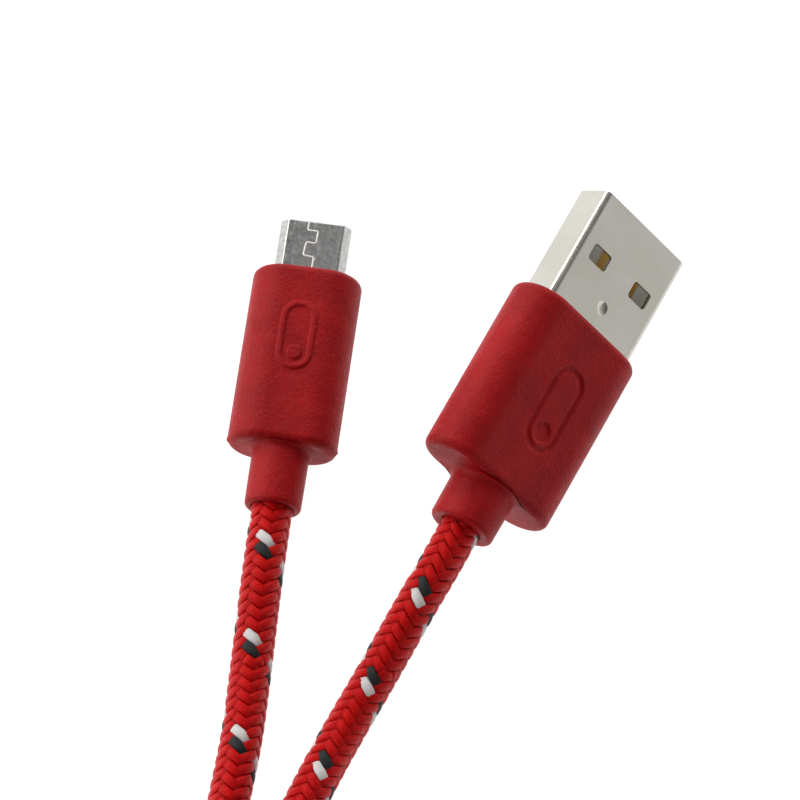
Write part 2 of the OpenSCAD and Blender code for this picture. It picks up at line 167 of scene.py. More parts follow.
def laid(points, place):
    # from a plug's own place (nose along Y, marked face up) to where it lies on the table
    half = place["thick"] / 2
    tip = math.radians(place["tip"])
    turn = math.radians(-place["turn"])
    x, y, z = points[..., 0], points[..., 1], points[..., 2]
    x1 = x * math.cos(tip) + z * math.sin(tip)
    z1 = -x * math.sin(tip) + z * math.cos(tip)
    x2 = x1 * math.cos(turn) - y * math.sin(turn)
    y2 = x1 * math.sin(turn) + y * math.cos(turn)
    lift = half + (place["width"] / 2 - half) * math.sin(tip)
    return np.stack([x2 + place["x"], y2 + place["y"], z1 + lift], axis=-1)


def newMaterial(name):
    mat = bpy.data.materials.new(name)
    mat.use_nodes = True
    tree = mat.node_tree
    shader = tree.nodes["Principled BSDF"]
    return mat, tree, shader


def addNode(tree, kind, x, y, **settings):
    made = tree.nodes.new(kind)
    made.location = (x, y)
    for key, value in settings.items():
        setattr(made, key, value)
    return made


def feed(tree, socket, value):
    # a socket takes another node's output or a fixed value
    if isinstance(value, bpy.types.NodeSocket):
        tree.links.new(value, socket)
    elif socket.type == "RGBA":
        socket.default_value = (*value, 1.0)
    else:
        socket.default_value = value


def maths(tree, x, y, operation, *values):
    made = addNode(tree, "ShaderNodeMath", x, y, operation=operation)
    for number, value in enumerate(values):
        feed(tree, made.inputs[number], value)
    return made.outputs["Value"]


def noise(tree, x, y, coords, scale, detail=4.0, rough=0.55):
    made = addNode(tree, "ShaderNodeTexNoise", x, y)
    feed(tree, made.inputs["Vector"], coords)
    feed(tree, made.inputs["Scale"], scale)
    feed(tree, made.inputs["Detail"], detail)
    feed(tree, made.inputs["Roughness"], rough)
    return made.outputs["Fac"]


def spread(tree, x, y, value, low, high, toLow, toHigh):
    made = addNode(tree, "ShaderNodeMapRange", x, y)
    feed(tree, made.inputs["Value"], value)
    feed(tree, made.inputs["From Min"], low)
    feed(tree, made.inputs["From Max"], high)
    feed(tree, made.inputs["To Min"], toLow)
    feed(tree, made.inputs["To Max"], toHigh)
    return made.outputs["Result"]


def mixColour(tree, x, y, factor, first, second):
    made = addNode(tree, "ShaderNodeMix", x, y, data_type="RGBA")
    feed(tree, made.inputs[0], factor)
    feed(tree, made.inputs[6], first)
    feed(tree, made.inputs[7], second)
    return made.outputs[2]


def bump(tree, x, y, height, strength, distance, below=None):
    made = addNode(tree, "ShaderNodeBump", x, y)
    feed(tree, made.inputs["Height"], height)
    feed(tree, made.inputs["Strength"], strength)
    feed(tree, made.inputs["Distance"], distance)
    if below is not None:
        feed(tree, made.inputs["Normal"], below)
    return made.outputs["Normal"]


def stretched(tree, x, y, coords, size):
    made = addNode(tree, "ShaderNodeMapping", x, y)
    feed(tree, made.inputs["Vector"], coords)
    feed(tree, made.inputs["Scale"], size)
    return made.outputs["Vector"]


def objectCoords(tree):
    return addNode(tree, "ShaderNodeTexCoord", -1300, 0).outputs["Object"]


def newGroup(name, colours, values, vectors=("where",)):
    # a shader group whose inputs carry the names that a material's own values have
    group = bpy.data.node_groups.new(name, "ShaderNodeTree")
    kinds = (("NodeSocketVector", vectors), ("NodeSocketColor", colours), ("NodeSocketFloat", values))
    for kind, labels in kinds:
        for label in labels:
            group.interface.new_socket(name=label, in_out="INPUT", socket_type=kind)
    group.interface.new_socket(name="colour", in_out="OUTPUT", socket_type="NodeSocketColor")
    group.interface.new_socket(name="roughness", in_out="OUTPUT", socket_type="NodeSocketFloat")
    group.interface.new_socket(name="bumps", in_out="OUTPUT", socket_type="NodeSocketVector")
    given = addNode(group, "NodeGroupInput", -1500, 0).outputs
    result = addNode(group, "NodeGroupOutput", 200, 0).inputs
    return group, given, result


def placeGroup(tree, shader, group, coords, look):
    made = addNode(tree, "ShaderNodeGroup", -400, 0, node_tree=group)
    feed(tree, made.inputs["where"], coords)
    for socket in made.inputs:
        if socket.name in look:
            feed(tree, socket, look[socket.name])
    tree.links.new(made.outputs["colour"], shader.inputs["Base Color"])
    tree.links.new(made.outputs["roughness"], shader.inputs["Roughness"])
    tree.links.new(made.outputs["bumps"], shader.inputs["Normal"])


# moulded plastic: slow colour drift, an eroded grain that also tints, and a little handling wear
def makeMouldedSkin():
    group, given, result = newGroup("mouldedSkin", ("dark", "light"), (
        "driftScale", "rough", "grainScale", "grain", "grainDepth", "grainTint", "swell"))
    drift = noise(group, -1000, 300, given["where"], given["driftScale"], 3.0)
    grain = noise(group, -1000, -300, given["where"], given["grainScale"], 3.0, 0.6)
    centred = maths(group, -850, 150, "SUBTRACT", grain, 0.5)
    both = maths(group, -700, 300, "MULTIPLY_ADD", centred, given["grainTint"], drift)
    tinted = spread(group, -500, 300, both, 0.3, 0.7, 0.0, 1.0)
    feed(group, result["colour"], mixColour(group, -300, 300, tinted, given["dark"], given["light"]))
    rubScale = maths(group, -1200, 0, "MULTIPLY", given["driftScale"], 3.0)
    rub = noise(group, -1000, 0, given["where"], rubScale, 5.0)
    worn = spread(group, -600, 0, rub, 0.3, 0.7, -0.06, 0.07)
    feed(group, result["roughness"], maths(group, -300, 0, "ADD", worn, given["rough"]))
    swellScale = maths(group, -1200, -600, "MULTIPLY", given["grainScale"], 0.12)
    swell = noise(group, -1000, -600, given["where"], swellScale, 2.0)
    soft = bump(group, -500, -500, swell, given["swell"], 0.0002)
    feed(group, result["bumps"], bump(group, -200, -300, grain, given["grain"], given["grainDepth"], soft))
    return group


# sheet metal: fine lengthwise drawing lines, tiny pits and cloudy roughness
def makeMetalSkin():
    group, given, result = newGroup("metalSkin", ("dark", "light"), (
        "cloudScale", "rough", "lineScale", "lines", "pitScale", "pits"), ("where", "stretch"))
    cloud = noise(group, -1000, 300, given["where"], given["cloudScale"], 4.0)
    clouded = spread(group, -800, 300, cloud, 0.3, 0.7, 0.0, 1.0)
    feed(group, result["colour"], mixColour(group, -300, 300, clouded, given["dark"], given["light"]))
    drawn = stretched(group, -1200, 0, given["where"], given["stretch"])
    lines = noise(group, -1000, 0, drawn, given["lineScale"], 4.0, 0.65)
    streaks = spread(group, -600, 0, lines, 0.3, 0.7, -0.07, 0.09)
    feed(group, result["roughness"], maths(group, -300, 0, "ADD", streaks, given["rough"]))
    pits = noise(group, -1000, -300, given["where"], given["pitScale"], 3.0, 0.6)
    first = bump(group, -500, -300, lines, given["lines"], 0.00002)
    feed(group, result["bumps"], bump(group, -200, -300, pits, given["pits"], 0.00004, first))
    return group


# braid yarn: filaments run along each strand, with painted shade where it dives under its neighbours
def makeYarnSkin():
    group, given, result = newGroup("yarnSkin", ("dark", "light", "shade"), ("rough",))
    parts = addNode(group, "ShaderNodeSeparateXYZ", -1300, -200)
    feed(group, parts.inputs["Vector"], given["where"])
    longways = stretched(group, -1100, 200, given["where"], (0.9, 26.0, 1.0))
    fine = noise(group, -900, 200, longways, 1.0, 3.0, 0.7)
    loose = stretched(group, -1100, 0, given["where"], (2.4, 9.0, 1.0))
    fuzz = noise(group, -900, 0, loose, 1.6, 4.0, 0.6)
    threaded = spread(group, -700, 300, fine, 0.3, 0.7, 0.0, 1.0)
    colour = mixColour(group, -500, 300, threaded, given["dark"], given["light"])
    # painted shade: the lower the strand rides, the more its colour goes to the shade colour
    paintedShadeMask = spread(group, -500, 100, parts.outputs["Z"], 0.0, 1.0, 0.85, 0.0)
    feed(group, result["colour"], mixColour(group, -300, 300, paintedShadeMask, colour, given["shade"]))
    worn = spread(group, -600, -100, fuzz, 0.3, 0.7, -0.08, 0.08)
    feed(group, result["roughness"], maths(group, -300, -100, "ADD", worn, given["rough"]))
    threads = bump(group, -500, -300, fine, 0.9, 0.00008)
    feed(group, result["bumps"], bump(group, -200, -300, fuzz, 0.5, 0.00008, threads))
    return group


mouldedSkin = makeMouldedSkin()
metalSkin = makeMetalSkin()
yarnSkin = makeYarnSkin()


def mouldedPlastic(name, look):
    mat, tree, shader = newMaterial(name)
    look = {"grainTint": 0.5, "grainDepth": 0.00005, "specular": 0.5, **look}
    placeGroup(tree, shader, mouldedSkin, objectCoords(tree), look)
    shader.inputs["Specular IOR Level"].default_value = look["specular"]
    shader.inputs["IOR"].default_value = 1.48
    return mat


def sheetMetal(name, look):
    mat, tree, shader = newMaterial(name)
    placeGroup(tree, shader, metalSkin, objectCoords(tree), look)
    shader.inputs["Metallic"].default_value = 1.0
    return mat


def braidYarn(name, look):
    mat, tree, shader = newMaterial(name)
    strand = addNode(tree, "ShaderNodeAttribute", -800, 0, attribute_name="along")
    placeGroup(tree, shader, yarnSkin, strand.outputs["Vector"], look)
    shader.inputs["Sheen Weight"].default_value = look["sheen"]
    shader.inputs["Sheen Roughness"].default_value = 0.4
    shader.inputs["Sheen Tint"].default_value = (*look["light"], 1.0)
    shader.inputs["Specular IOR Level"].default_value = look["specular"]
    shader.inputs["Specular Tint"].default_value = (*look["gloss"], 1.0)
    return mat


mouldRed = mouldedPlastic("mouldRed", {
    "dark": (0.29, 0.0036, 0.0054), "light": (0.41, 0.0058, 0.0082), "driftScale": 220.0, "rough": 0.45,
    "grainScale": 3400.0, "grain": 0.8, "grainDepth": 0.0001, "grainTint": 0.7, "swell": 0.5,
    "specular": 0.145})
# each yarn's shade is the painted shade colour laid where the strand dives under its neighbours
yarnRed = braidYarn("yarnRed", {
    "dark": (0.30, 0.001, 0.0013), "light": (0.84, 0.0038, 0.0042), "shade": (0.03, 0.0001, 0.0002),
    "rough": 0.4, "sheen": 0.02, "specular": 0.9, "gloss": (1.0, 0.08, 0.07)})
yarnWhite = braidYarn("yarnWhite", {
    "dark": (0.70, 0.66, 0.64), "light": (0.92, 0.90, 0.88), "shade": (0.30, 0.12, 0.11),
    "rough": 0.5, "sheen": 0.2, "specular": 0.3, "gloss": (1.0, 1.0, 1.0)})
yarnBlack = braidYarn("yarnBlack", {
    "dark": (0.008, 0.009, 0.010), "light": (0.030, 0.032, 0.034), "shade": (0.005, 0.004, 0.004),
    "rough": 0.45, "sheen": 0.1, "specular": 0.25, "gloss": (1.0, 1.0, 1.0)})
jacketRed = mouldedPlastic("jacketRed", {
    "dark": (0.14, 0.002, 0.003), "light": (0.20, 0.003, 0.004), "driftScale": 120.0, "rough": 0.6,
    "grainScale": 2400.0, "grain": 0.3, "swell": 0.2})
nickelPlate = sheetMetal("nickelPlate", {
    "dark": (0.545, 0.525, 0.47), "light": (0.60, 0.58, 0.525), "cloudScale": 160.0, "rough": 0.24,
    "stretch": (1.0, 1.0, 1.0), "lineScale": 700.0, "lines": 0.0, "pitScale": 5200.0, "pits": 0.008})
stainlessSheet = sheetMetal("stainlessSheet", {
    "dark": (0.40, 0.395, 0.39), "light": (0.60, 0.59, 0.57), "cloudScale": 2600.0, "rough": 0.22,
    "stretch": (1.0, 0.4, 1.0), "lineScale": 2200.0, "lines": 0.05, "pitScale": 4200.0, "pits": 0.06})
# painted highlight: the steel seam's bead is a near-white plastic that stands for the light its rolled
# edges reflect
seamPaintedHighlight = mouldedPlastic("seamPaintedHighlight", {
    "dark": (0.90, 0.90, 0.89), "light": (0.96, 0.96, 0.95), "driftScale": 900.0, "rough": 0.3,
    "grainScale": 4200.0, "grain": 0.1, "swell": 0.1, "specular": 1.0})
springSteel = sheetMetal("springSteel", {
    "dark": (0.52, 0.52, 0.52), "light": (0.68, 0.68, 0.67), "cloudScale": 700.0, "rough": 0.2,
    "stretch": (1.0, 0.2, 1.0), "lineScale": 4000.0, "lines": 0.2, "pitScale": 6000.0, "pits": 0.1})
goldFlash = sheetMetal("goldFlash", {
    "dark": (0.80, 0.46, 0.12), "light": (1.0, 0.68, 0.26), "cloudScale": 500.0, "rough": 0.36,
    "stretch": (1.0, 0.3, 1.0), "lineScale": 3000.0, "lines": 0.2, "pitScale": 5000.0, "pits": 0.1})
solderTin = sheetMetal("solderTin", {
    "dark": (0.50, 0.51, 0.53), "light": (0.68, 0.69, 0.71), "cloudScale": 900.0, "rough": 0.32,
    "stretch": (1.0, 1.0, 1.0), "lineScale": 2500.0, "lines": 0.3, "pitScale": 3000.0, "pits": 0.4})
paleCarrier = mouldedPlastic("paleCarrier", {
    "dark": (0.86, 0.86, 0.82), "light": (0.93, 0.93, 0.90), "driftScale": 300.0, "rough": 0.42,
    "grainScale": 4200.0, "grain": 0.2, "swell": 0.1})
blackCarrier = mouldedPlastic("blackCarrier", {
    "dark": (0.012, 0.012, 0.013), "light": (0.022, 0.022, 0.024), "driftScale": 300.0, "rough": 0.38,
    "grainScale": 4200.0, "grain": 0.2, "swell": 0.1})
hotMelt = mouldedPlastic("hotMelt", {
    "dark": (0.66, 0.65, 0.58), "light": (0.76, 0.75, 0.69), "driftScale": 200.0, "rough": 0.5,
    "grainScale": 1800.0, "grain": 0.2, "swell": 0.4})
wireColours = {
    "red": ((0.40, 0.006, 0.006), (0.52, 0.012, 0.010)),
    "white": ((0.74, 0.74, 0.72), (0.84, 0.84, 0.82)),
    "green": ((0.012, 0.17, 0.035), (0.02, 0.24, 0.05)),
    "black": ((0.007, 0.007, 0.008), (0.014, 0.014, 0.015))}
wireSkin = {}
for tint, (darkTint, lightTint) in wireColours.items():
    wireSkin[tint] = mouldedPlastic("wire" + tint.capitalize(), {
        "dark": darkTint, "light": lightTint, "driftScale": 250.0, "rough": 0.33,
        "grainScale": 5000.0, "grain": 0.1, "swell": 0.2})


# woven strap: a plain weave of two thread sets, with a furry outer face
def wovenStrap(name, look):
    mat, tree, shader = newMaterial(name)
    strand = addNode(tree, "ShaderNodeAttribute", -1500, 0, attribute_name="along")
    weave = addNode(tree, "ShaderNodeTexWave", -900, 200, wave_type="BANDS", bands_direction="X")
    weave.inputs["Scale"].default_value = 4.2
    weave.inputs["Distortion"].default_value = 1.5
    tree.links.new(strand.outputs["Vector"], weave.inputs["Vector"])
    fuzz = noise(tree, -900, -100, strand.outputs["Vector"], 9.0, 5.0, 0.7)
    colour = mixColour(tree, -600, 200, fuzz, look["dark"], look["light"])
    tree.links.new(colour, shader.inputs["Base Color"])
    shader.inputs["Roughness"].default_value = 0.85
    shader.inputs["Sheen Weight"].default_value = 0.4
    ribs = bump(tree, -400, -200, weave.outputs["Fac"], 0.6, 0.0001)
    tree.links.new(bump(tree, -200, -200, fuzz, 0.8, 0.0001, ribs), shader.inputs["Normal"])
    return mat


strapBlack = wovenStrap("strapBlack", {"dark": (0.006, 0.006, 0.007), "light": (0.030, 0.030, 0.033)})
print("materials made")


def throughPoints(points, steps):
    # a smooth curve through every point: each span is a cubic whose end slopes come from the neighbours
    p = np.array(points, float)
    p = np.vstack([2 * p[0] - p[1], p, 2 * p[-1] - p[-2]])
    t = np.linspace(0.0, 1.0, steps, endpoint=False)[None, :, None]
    p0, p1, p2, p3 = (p[i:len(p) - 3 + i][:, None, :] for i in range(4))
    curve = 2 * p1 + (p2 - p0) * t
    curve = curve + (2 * p0 - 5 * p1 + 4 * p2 - p3) * t ** 2
    curve = 0.5 * (curve + (3 * p1 - p0 - 3 * p2 + p3) * t ** 3)
    return np.vstack([curve.reshape(-1, 3), p[-2]])


def coilPoints(setup):
    # three turns go in on the table, the last climbs, three turns go out on top and roll off the side
    angle = np.arange(180.0, 2260.0, 10.0)
    step = setup["step"]
    column = 2.0 - ease((angle - 170) / 70) - ease((angle - 530) / 70) - ease((angle - 890) / 70)
    column = column + ease((angle - 1472) / 70) + ease((angle - 1832) / 70)
    climb = ease((angle - 1170) / 70)
    roll = math.pi / 2 * ease((angle - 2190) / 70)
    r = setup["radius"] + step * (column + np.sin(roll))
    z = setup["low"] + step * climb * np.cos(roll)
    a = np.radians(angle)
    return np.stack([setup["centre"][0] + r * np.cos(a), setup["centre"][1] + r * np.sin(a), z], axis=-1)


def makeLine(points):
    # arc length, position and a frame (along, side, up) at every 0.25 mm of the whole cord
    raw = throughPoints(points, 24)
    length = np.concatenate([[0.0], np.cumsum(np.linalg.norm(np.diff(raw, axis=0), axis=1))])
    s = np.arange(0.0, length[-1], 0.25)
    p = np.stack([np.interp(s, length, raw[:, k]) for k in range(3)], axis=-1)
    kernel = np.ones(9) / 9.0
    inner = np.stack([np.convolve(p[:, k], kernel, mode="valid") for k in range(3)], axis=-1)
    p[4:-4] = inner
    t = unit(np.gradient(p, axis=0))
    side = unit(np.cross(t, np.array([0.0, 0.0, 1.0])))
    return {"s": s, "p": p, "t": t, "side": side, "up": np.cross(side, t), "length": float(s[-1])}


def onLine(line, s, key):
    # past either end the line goes on straight
    picked = np.stack([np.interp(s, line["s"], line[key][:, k]) for k in range(3)], axis=-1)
    if key != "p":
        return unit(picked)
    past = (s - np.clip(s, 0.0, line["length"]))[:, None]
    return picked + past * np.where(past < 0, line["t"][0], line["t"][-1])


cordLine = makeLine(np.vstack([
    np.array(usbRoute) / mm, coilPoints(coilSetup)[::-1], np.array(microRoute)[::-1] / mm]))
print("cord is", round(cordLine["length"], 1), "mm long")


# in radians: where the columns of floats stand round the cord, and where each set of strands starts
braidPhase = {"twill": -0.131, "turnLeft": -0.929, "turnRight": 2.872, "whiteStrand": 0, "blackStrand": 1}


# strand k of 8 turns one way or the other; over and under swap every eighth of a turn, so that each
# strand passes over two and under two, and the floats stand in columns along the cord
def strandRings(line, setup, start, end, perPitch, sides, hand, phases):
    count = max(8, int((end - start) / setup["pitch"] * perPitch))
    s = np.linspace(start, end, count)[None, :]
    even = hand * 2 * np.pi * s / setup["pitch"] + phases[:, None]
    turnWave = 4.0 * (even - braidPhase["twill"]) - np.pi / 4
    wave = np.cos(turnWave) * hand
    over = np.tanh(1.7 * wave) / np.tanh(1.7)
    # a strand runs more squarely across the cord where it floats than where it dives
    theta = even + hand * setup["meander"] / 4 * np.sin(turnWave)
    radius = setup["rideRadius"] + setup["rise"] * over
    centre, tangent, side, up = (onLine(line, s[0], key)[None] for key in ("p", "t", "side", "up"))
    out = np.cos(theta)[..., None] * side + np.sin(theta)[..., None] * up
    turn = -np.sin(theta)[..., None] * side + np.cos(theta)[..., None] * up
    rate = hand * 2 * np.pi / setup["pitch"] * (1.0 + setup["meander"] * wave)
    run = unit(tangent + (rate * radius)[..., None] * turn)
    across = np.cross(run, out)
    phi = np.linspace(0.0, 2 * np.pi, sides, endpoint=False)
    flat = np.sign(np.cos(phi)) * np.abs(np.cos(phi)) ** 0.8 * setup["strandWidth"] / 2
    thick = np.sign(np.sin(phi)) * np.abs(np.sin(phi)) ** 0.9 * setup["strandThick"] / 2
    # the strand's face follows the cord's roundness
    sag = -0.5 * flat ** 2 / setup["rideRadius"] * 0.55
    points = (centre + radius[..., None] * out)[:, :, None, :]
    points = points + across[:, :, None, :] * flat[:, None] + out[:, :, None, :] * (thick + sag)[:, None]
    run1 = np.broadcast_to((s * 1.56)[..., None], points.shape[:3])
    wide = np.broadcast_to(np.cos(phi) * setup["strandWidth"] / 2, points.shape[:3])
    # the third value, how high the strand rides, sets where the yarn's painted shade falls
    high = np.broadcast_to((0.5 + 0.5 * over)[..., None], points.shape[:3])
    return points, np.stack([run1 + phases[:, None, None] * 40.0, wide, high], axis=-1)


def strandMesh(points, along):
    # every strand is a closed tube with a point in the middle of each end
    strands, rings, sides = points.shape[:3]
    ends = points[:, [0, -1]].mean(axis=2)
    endAlong = along[:, [0, -1]].mean(axis=2)
    block = rings * sides + 2
    allPoints = np.concatenate([points.reshape(strands, -1, 3), ends], axis=1).reshape(-1, 3)
    allAlong = np.concatenate([along.reshape(strands, -1, 3), endAlong], axis=1).reshape(-1, 3)
    base = gridFaces(rings, sides, False, True)
    ring = np.arange(sides)
    last = (rings - 1) * sides
    caps = np.vstack([capFaces(ring, rings * sides, True), capFaces(ring + last, rings * sides + 1)])
    shift = (np.arange(strands) * block)[:, None, None]
    quads = (base[None] + shift).reshape(-1, 4)
    tris = (caps[None] + shift).reshape(-1, 3)
    return allPoints, allAlong, quads, tris


def braidPiece(name, line, setup, start, end, perPitch, sides, core=False):
    eighth = np.arange(8) * np.pi / 4
    points, along, quads, tris, quadSlots, triSlots = [], [], [], [], [], []
    first = 0
    for hand in (1, -1):
        turn = braidPhase["turnRight"] if hand > 0 else braidPhase["turnLeft"]
        rings, where = strandRings(line, setup, start, end, perPitch, sides, hand, eighth + turn)
        p, a, q, t = strandMesh(rings, where)
        slot = np.zeros(8, int)
        if hand > 0:
            slot[braidPhase["whiteStrand"]] = 1
            slot[braidPhase["blackStrand"]] = 2
        points.append(p)
        along.append(a)
        quads.append(q + first)
        tris.append(t + first)
        quadSlots.append(np.repeat(slot, len(q) // 8))
        triSlots.append(np.repeat(slot, len(t) // 8))
        first += len(p)
    if core:
        p, q, t = coreTube(line, setup, start, end)
        points.append(p)
        along.append(np.zeros_like(p))
        quads.append(q + first)
        tris.append(t + first)
        quadSlots.append(np.full(len(q), 3))
        triSlots.append(np.full(len(t), 3))
    return buildMesh(name, np.vstack(points), np.vstack(quads), np.vstack(tris),
                     np.concatenate(quadSlots + triSlots), (yarnRed, yarnWhite, yarnBlack, jacketRed),
                     np.vstack(along))


def coreTube(line, setup, start, end, sides=20):
    # the jacket under the braid: a circle carried along the cord's line
    s = np.linspace(start, end, max(4, int((end - start) / 0.8)))
    phi = np.linspace(0.0, 2 * np.pi, sides, endpoint=False)[None, :, None]
    p, side, up = (onLine(line, s, key)[:, None, :] for key in ("p", "side", "up"))
    points = (p + setup["coreRadius"] * (np.cos(phi) * side + np.sin(phi) * up)).reshape(-1, 3)
    middle = onLine(line, s[[0, -1]], "p")
    last = (len(s) - 1) * sides
    ring = np.arange(sides)
    tris = np.vstack([capFaces(ring, len(points), True), capFaces(ring + last, len(points) + 1)])
    return np.vstack([points, middle]), gridFaces(len(s), sides, False, True), tris


stub = cordSetup["stubLength"]
fine = cordSetup["fineLength"]
whole = cordLine["length"]
hidden = cordSetup["hidden"]
usbStub = braidPiece("usbCordStub", cordLine, cordSetup, -hidden, stub, 48, 10, core=True)
microStub = braidPiece("microCordStub", cordLine, cordSetup, whole - stub, whole + hidden, 48, 10,
                       core=True)
usbBraid = braidPiece("usbCordBraid", cordLine, cordSetup, stub, fine, 44, 10)
microBraid = braidPiece("microCordBraid", cordLine, cordSetup, whole - fine, whole - stub, 44, 10)
coilBraid = []
cuts = np.linspace(fine, whole - fine, 4)
for number, (cutA, cutB) in enumerate(zip(cuts[:-1], cuts[1:])):
    coilBraid.append(braidPiece("coilBraid" + str(number + 1), cordLine, cordSetup, cutA, cutB, 20, 6))
corePoints, coreQuads, coreTris = coreTube(cordLine, cordSetup, stub, whole - stub, 12)
cordCore = buildMesh("cordCore", corePoints, coreQuads, coreTris, materials=(jacketRed,))
print("braid made")


strapSetup = {
    "at": 250.0,     # degrees round the coil
    "width": 5.0,
    "thick": 0.4,
    "corner": 2.2,   # radius of the band's bends
    "lap": 0.18,     # part of the way round that lies double
    "steps": 260,
    "sides": 20,
}


def strapPiece(setup, coil):
    # a flat rounded section carried round a rounded box, with its end lying on its start
    thick, n, sides = setup["thick"], setup["steps"], setup["sides"]
    wide = 2 * coil["step"] + cordSetup["diameter"] + 1.0
    high = coil["step"] + cordSetup["diameter"] + 0.2 + thick
    straightX = wide - 2 * setup["corner"]
    straightZ = high - 2 * setup["corner"]
    bend = setup["corner"] * np.pi / 2
    around = 2 * (straightX + straightZ) + 4 * bend
    u = np.linspace(0.0, 1.0, n) * around * (1.0 + setup["lap"])
    knots = np.cumsum([0, straightZ, bend, straightX, bend, straightZ, bend, straightX, bend])
    m = u % around
    heading = np.zeros(n)
    for knot in (1, 3, 5, 7):
        heading = heading + np.clip((m - knots[knot]) / bend, 0.0, 1.0) * np.pi / 2
    step = u[1] - u[0]
    x = np.cumsum(-np.sin(heading)) * step
    z = np.cumsum(np.cos(heading)) * step
    x = x - (x[u < around].max() + x[u < around].min()) / 2
    z = z - (z[u < around].max() + z[u < around].min()) / 2
    lap = ease((u - around * 0.98) / (around * 0.06)) * thick * 1.02
    nx, nz = np.cos(heading), np.sin(heading)
    x, z = x + nx * lap, z + nz * lap
    v = np.linspace(0, 2 * np.pi, sides, endpoint=False)
    flat = np.sign(np.cos(v)) * np.abs(np.cos(v)) ** 0.35 * setup["width"] / 2
    proud = np.sign(np.sin(v)) * np.abs(np.sin(v)) ** 0.5 * thick / 2
    flat = np.broadcast_to(flat, (n, sides))
    local = np.stack([x[:, None] + nx[:, None] * proud, flat,
                      z[:, None] + nz[:, None] * proud + high / 2 + thick / 2], axis=-1)
    a = math.radians(setup["at"])
    r = coil["radius"] + local[..., 0]
    x = coil["centre"][0] + r * math.cos(a) - local[..., 1] * math.sin(a)
    y = coil["centre"][1] + r * math.sin(a) + local[..., 1] * math.cos(a)
    points = np.stack([x, y, local[..., 2]], axis=-1)
    along = np.stack([np.broadcast_to(u[:, None], (n, sides)), flat, np.zeros((n, sides))], axis=-1)
    flatPoints = np.vstack([points.reshape(-1, 3), points[[0, -1]].mean(axis=1)])
    flatAlong = np.vstack([along.reshape(-1, 3), along[[0, -1]].mean(axis=1)])
    ring = np.arange(sides)
    tris = np.vstack([capFaces(ring, n * sides, True), capFaces(ring + (n - 1) * sides, n * sides + 1)])
    return buildMesh("coilStrap", flatPoints, gridFaces(n, sides, False, True), tris,
                     materials=(strapBlack,), along=flatAlong)


strap = strapPiece(strapSetup, coilSetup)
print("strap made")

# in mm, from the front face at Y = 0 back to the strain relief
usbMould = {
    "place": usbPlace, "width": 15.5, "thick": 6.8, "length": 18.6, "edge": 0.75,
    "reliefRadius": 3.25, "reliefLength": 4.7, "cavityBack": -15.5, "cavityFront": -6.5,
    "cavity": (11.6, 4.9), "flatPoints": 104, "sidePoints": 44,
    "markWidth": 3.9, "markLength": 9.0, "markAt": (0.3, -9.3), "markHeight": -0.2,
    "nose": [(5.4, 2.25), (5.85, 2.05), (6.0, 1.65), (6.0, -1.65), (5.85, -2.05), (5.4, -2.25)],
}
microMould = {
    "place": microPlace, "width": 10.5, "thick": 6.7, "length": 18.1, "edge": 0.75,
    "reliefRadius": 2.75, "reliefLength": 5.9, "cavityBack": -14.5, "cavityFront": -6.0,
    "cavity": (8.4, 4.6), "flatPoints": 56, "sidePoints": 44,
    "markWidth": 3.4, "markLength": 7.0, "markAt": (0.0, -7.4), "markHeight": 0.17,
    "nose": [(2.7, 0.9), (3.425, 0.05), (3.425, -0.65), (3.175, -0.9)],
}


def spacedAlong(corners, count):
    # count points at equal steps along a broken line
    c = np.array(corners, float)
    d = np.concatenate([[0.0], np.cumsum(np.linalg.norm(np.diff(c, axis=0), axis=1))])
    u = np.linspace(0.0, d[-1], count)
    return np.stack([np.interp(u, d, c[:, 0]), np.interp(u, d, c[:, 1])], axis=-1)


def sectionFrom(right, top, side):
    # right lists the outline's right half from the top flat's end down to the lower flat's end
    r = np.array(right, float)
    topX, lowX = r[0, 0], r[-1, 0]
    upper = np.stack([np.linspace(topX, -topX, top + 1)[:-1], np.full(top, r[0, 1])], axis=-1)
    lower = np.stack([np.linspace(-lowX, lowX, top + 1)[:-1], np.full(top, r[-1, 1])], axis=-1)
    rightSide = spacedAlong(r[::-1], side + 1)[:-1]
    leftSide = spacedAlong(r * [-1, 1], side + 1)[:-1]
    return np.vstack([upper, leftSide, lower, rightSide])


def stadium(half, radius, top, side):
    # flats of half-length half, joined by half circles, with points closer together at the parting line
    u = np.linspace(1.0, -1.0, side + 1)
    angle = np.sign(u) * np.abs(u) ** 1.5 * np.pi / 2
    right = np.stack([half + radius * np.cos(angle), radius * np.sin(angle)], axis=-1)
    upper = np.stack([np.linspace(half, -half, top + 1)[:-1], np.full(top, radius)], axis=-1)
    lower = np.stack([np.linspace(-half, half, top + 1)[:-1], np.full(top, -radius)], axis=-1)
    return np.vstack([upper, (right * [-1, 1])[:-1], lower, right[::-1][:-1]])


def roundSection(radius, top, side):
    # a circle with the same count of points, the flats' points on its upper and lower quarters
    reach = radius * 0.70711
    x = np.linspace(reach, -reach, top + 1)[:-1]
    upper = np.stack([x, np.sqrt(radius ** 2 - x ** 2)], axis=-1)
    a = np.linspace(np.pi * 0.75, np.pi * 1.25, side + 1)[:-1]
    left = radius * np.stack([np.cos(a), np.sin(a)], axis=-1)
    return np.vstack([upper, left, -upper, -left])


def pillDistance(x, y, width, length):
    # how far a point lies outside a pill shape whose long way is Y
    reach = np.maximum(np.abs(y) - (length - width) / 2, 0.0)
    return np.hypot(x, reach) - width / 2


# outside distance from the mark: the nearer of a pill's rim, 0.5 wide, and a round dot in its rear end
def markDistance(x, y, m):
    x, y = x - m["markAt"][0], y - m["markAt"][1]
    ring = np.abs(pillDistance(x, y, m["markWidth"], m["markLength"]) + 0.25) - 0.25
    dot = np.hypot(x, y + (m["markLength"] - m["markWidth"]) / 2) - (m["markWidth"] / 2 - 1.0)
    return np.minimum(ring, dot)


